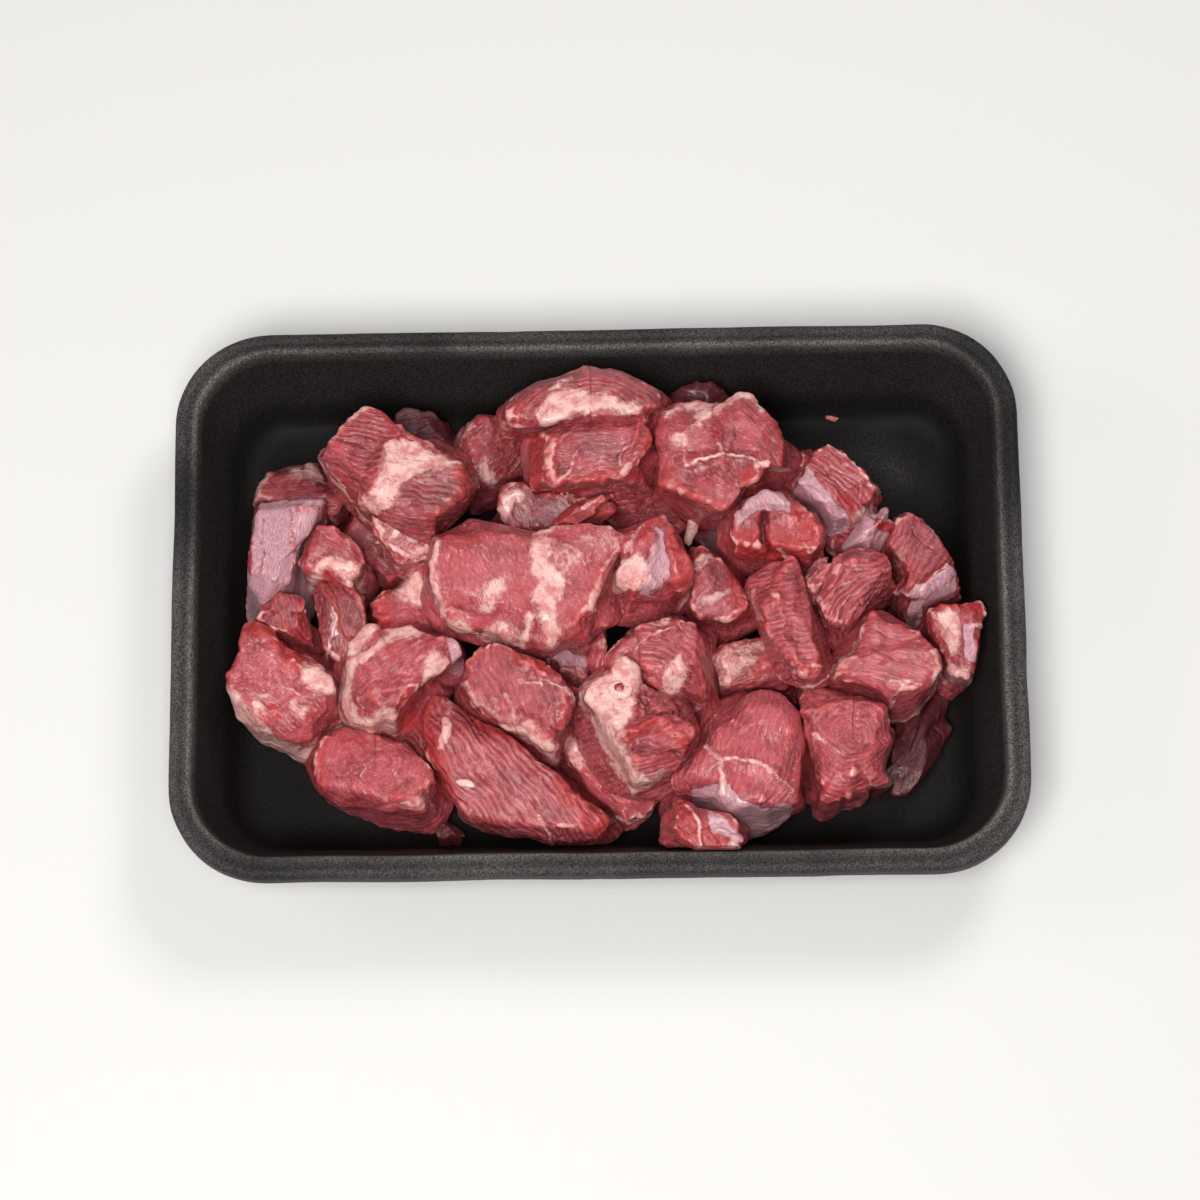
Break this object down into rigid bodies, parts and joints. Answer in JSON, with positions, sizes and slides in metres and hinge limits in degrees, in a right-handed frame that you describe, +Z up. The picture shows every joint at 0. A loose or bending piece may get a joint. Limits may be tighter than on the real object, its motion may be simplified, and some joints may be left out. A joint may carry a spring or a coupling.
{
  "type": "meat tray pack",
  "caption": "Low black foam tray with rounded corners and a rolled rim, heaped with uneven dice of raw red meat with fat seams and silver skin.",
  "frame": {"origin": "the middle of the tray's flat underside, on the surface that it rests on", "axes": "+X runs along the tray's length, +Y to the side that is far from the viewer, +Z up out of the tray"},
  "size_m": [0.24, 0.16, 0.0502],
  "materials": {
    "black_foam": "matt black expanded polystyrene with a fine bead grain",
    "lean_meat": "moist raw red meat, fine grain, satin",
    "meat_fat": "pinkish white fat, slightly waxy",
    "silver_skin": "smooth pale lavender membrane, wet sheen"
  },
  "bodies": {
    "root": {"tray": "black_foam", "back_left_low": "lean_meat", "left_back": "lean_meat", "fat_band_slab": "lean_meat", "flap_nub": "meat_fat", "dark_under_left": "lean_meat", "silver_strip": "silver_skin", "fat_front_lump": "lean_meat", "left_lean_top": "lean_meat", "left_front": "lean_meat", "tendon_lean": "lean_meat", "fat_rimmed": "lean_meat", "fat_ridge": "lean_meat", "lower_left_lean": "lean_meat", "under_scrap": "lean_meat", "long_wedge": "lean_meat", "seam_cube": "lean_meat", "centre_slab": "lean_meat", "under_slab": "lean_meat", "grey_fat_back": "lean_meat", "top_roll": "lean_meat", "seam_face": "lean_meat", "fat_end_cube": "lean_meat", "red_strip": "lean_meat", "deep_centre": "lean_meat", "lavender_fat": "lean_meat", "left_of_patch": "lean_meat", "fat_patch_lean": "lean_meat", "tube_fat": "lean_meat", "below_tube": "lean_meat", "back_lean": "lean_meat", "big_right_back": "lean_meat", "nub": "lean_meat", "red_cut": "lean_meat", "under_red_cut": "lean_meat", "silver_cube": "lean_meat", "lavender_side": "silver_skin", "red_side": "lean_meat", "pink_deep": "lean_meat", "upright_strip": "lean_meat", "swirl": "lean_meat", "fat_flap": "meat_fat", "right_back_lean": "lean_meat", "right_end": "lean_meat", "big_right": "lean_meat", "right_under": "lean_meat", "right_front": "lean_meat", "big_front": "lean_meat", "front_lip": "lean_meat"}
  },
  "joints": []
}
